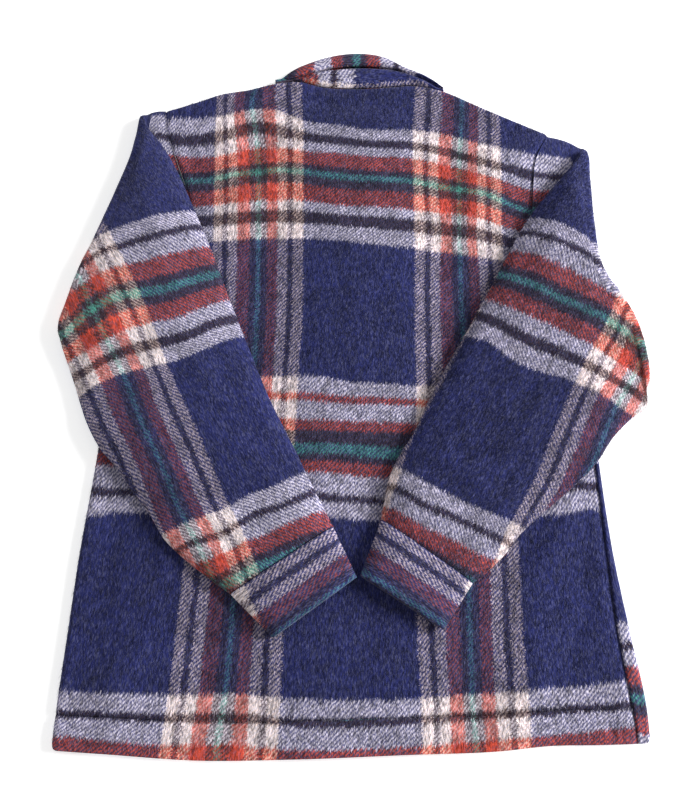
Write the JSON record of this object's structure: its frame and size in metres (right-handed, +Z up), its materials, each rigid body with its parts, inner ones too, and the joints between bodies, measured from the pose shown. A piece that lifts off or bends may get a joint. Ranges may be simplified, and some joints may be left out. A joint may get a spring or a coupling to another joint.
{
  "type": "plaid wool jacket laid flat",
  "caption": "Plaid wool shirt jacket laid flat on its front, back up, with both sleeves folded in over the back and a rounded collar.",
  "frame": {"origin": "middle of the footprint, on the surface that the jacket lies on", "axes": "+X to the wearer's right (the viewer's right), +Y from the hem to the collar, +Z up off the surface"},
  "size_m": [0.618, 0.7708, 0.0252],
  "materials": {
    "wool_plaid": "thick brushed twill in a navy, cream, red, green and black check, with a hairy nap",
    "button": "dark polished button"
  },
  "bodies": {
    "root": {"back": "wool_plaid", "front_left": "wool_plaid", "front_right": "wool_plaid", "sleeve_left": "wool_plaid", "sleeve_right": "wool_plaid", "cuff_left": "wool_plaid", "cuff_right": "wool_plaid", "collar_stand": "wool_plaid", "collar_fall": "wool_plaid", "button_1": "button", "button_2": "button", "button_3": "button", "button_4": "button", "button_5": "button", "button_6": "button"}
  },
  "joints": []
}
